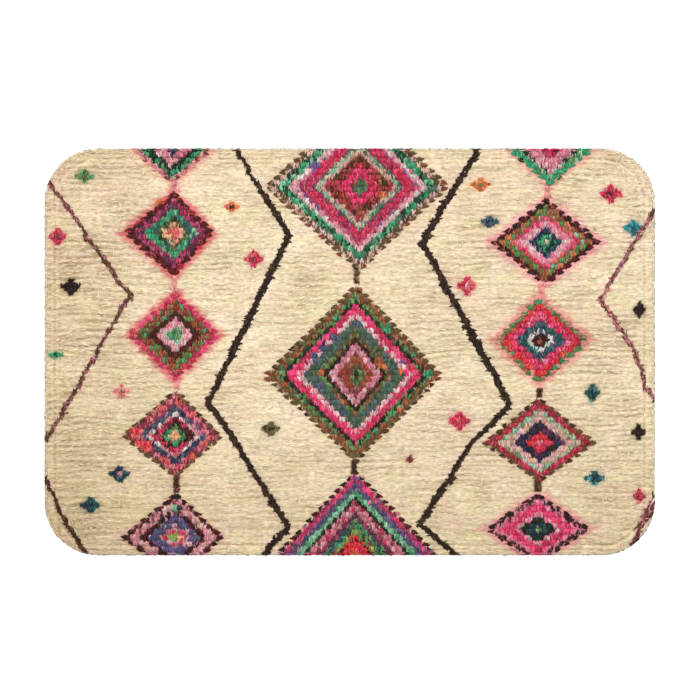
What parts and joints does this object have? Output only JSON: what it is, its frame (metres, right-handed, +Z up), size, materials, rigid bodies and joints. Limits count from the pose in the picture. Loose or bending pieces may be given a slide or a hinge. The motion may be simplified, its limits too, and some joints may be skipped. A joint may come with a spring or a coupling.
{
  "type": "doormat",
  "caption": "Flat rectangular plush doormat with rounded corners, a rolled and stitched hem, and a traditional lozenge pattern on its face.",
  "frame": {"origin": "middle of the underside, on the floor", "axes": "+X along the long side, to the right as the pattern is seen from above; +Y to the pattern's top; +Z up"},
  "size_m": [0.6, 0.4, 0.008],
  "materials": {
    "plush": "short woolly pile in a cream ground with a lozenge pattern in pinks, greens, reds and browns, matt"
  },
  "bodies": {
    "root": {"mat": "plush"}
  },
  "joints": []
}
